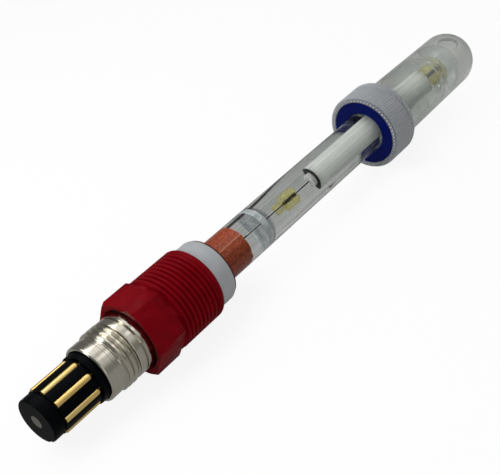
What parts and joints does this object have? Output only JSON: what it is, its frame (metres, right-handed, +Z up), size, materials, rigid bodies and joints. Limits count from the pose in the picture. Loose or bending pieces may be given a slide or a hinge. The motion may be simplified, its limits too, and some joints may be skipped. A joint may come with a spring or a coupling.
{
  "type": "ph electrode",
  "caption": "Combined glass pH electrode with a threaded head, round plug connector, loose thrust ring and a screw-on wetting cap.",
  "frame": {"origin": "centre of the sealing face under the head, on the shaft's axis", "axes": "+X along the shaft towards the glass tip, +Z up as the electrode lies, with a flat of the hexagon down"},
  "size_m": [0.1889, 0.0232, 0.0232],
  "materials": {
    "black_plastic": "satin moulded",
    "gilt_contact": "gold plated",
    "contact_nickel": "dull metal",
    "nickel_plate": "turned and nickel plated",
    "black_rubber": "matt",
    "crimson_plastic": "satin moulded",
    "potting_resin": "cast",
    "white_plastic": "satin turned",
    "dark_red_rubber": "matt",
    "clear_glass": "clear drawn tube",
    "partition_glass": "clear blown",
    "stem_glass": "clear drawn tube",
    "membrane_glass": "clear blown",
    "copper_shield": "matt copper-brown",
    "yellow_salt": "translucent, grainy",
    "coated_silver": "black silver chloride coat",
    "white_ptfe": "translucent white",
    "white_ceramic": "ground ceramic",
    "sensor_bead": "glass-coated bead",
    "lead_enamel": "dark enamelled wire",
    "blue_rubber": "satin",
    "frosted_plastic": "frosted, translucent",
    "clear_plastic": "clear, slightly hazy"
  },
  "bodies": {
    "electrode": {"connector_plug": "black_plastic", "centre_contact": "contact_nickel", "connector_shell": "nickel_plate", "shell_seal": "black_rubber", "gland_body": "crimson_plastic", "head_potting": "potting_resin", "seal_washer": "dark_red_rubber", "glass_shaft": "clear_glass", "shield_sleeve": "copper_shield", "glass_partition": "partition_glass", "reference_cartridge": "yellow_salt", "reference_wire": "coated_silver", "inner_stem": "stem_glass", "insulating_sleeve": "white_ptfe", "sleeve_ring": "black_rubber", "measuring_cartridge": "yellow_salt", "measuring_wire": "coated_silver", "membrane_bulb": "membrane_glass", "temperature_bead": "sensor_bead", "sensor_lead_1": "lead_enamel", "sensor_lead_2": "lead_enamel", "contact_1": "gilt_contact", "contact_2": "gilt_contact", "contact_3": "gilt_contact", "contact_4": "gilt_contact", "contact_5": "gilt_contact", "contact_6": "gilt_contact", "contact_7": "gilt_contact", "junction_1": "white_ceramic", "junction_2": "white_ceramic", "junction_3": "white_ceramic"},
    "ring": {"thrust_ring": "white_plastic"},
    "bottle": {"cap_bottle": "clear_plastic"},
    "seal": {"cap_seal": "blue_rubber"},
    "nut": {"cap_nut": "frosted_plastic"}
  },
  "joints": [
    {"name": "ring_turn", "type": "hinge", "parent": "electrode", "child": "ring", "pos_m": [-0.0032, 0, 0], "axis": [1, 0, 0], "continuous": true},
    {"name": "cap_pull", "type": "slide", "parent": "electrode", "child": "bottle", "axis": [1, 0, 0], "range_m": [0, 0.06]},
    {"name": "seal_slide", "type": "slide", "parent": "bottle", "child": "seal", "axis": [-1, 0, 0], "range_m": [0, 0.00205]},
    {"name": "nut_turn", "type": "hinge", "parent": "seal", "child": "nut", "pos_m": [0.0775, 0, 0], "axis": [-1, 0, 0], "range_deg": [0, 360]}
  ],
  "couplings": [
    {"joint": "seal_slide", "follows": "nut_turn", "m_per_rad": 0.00031831}
  ]
}
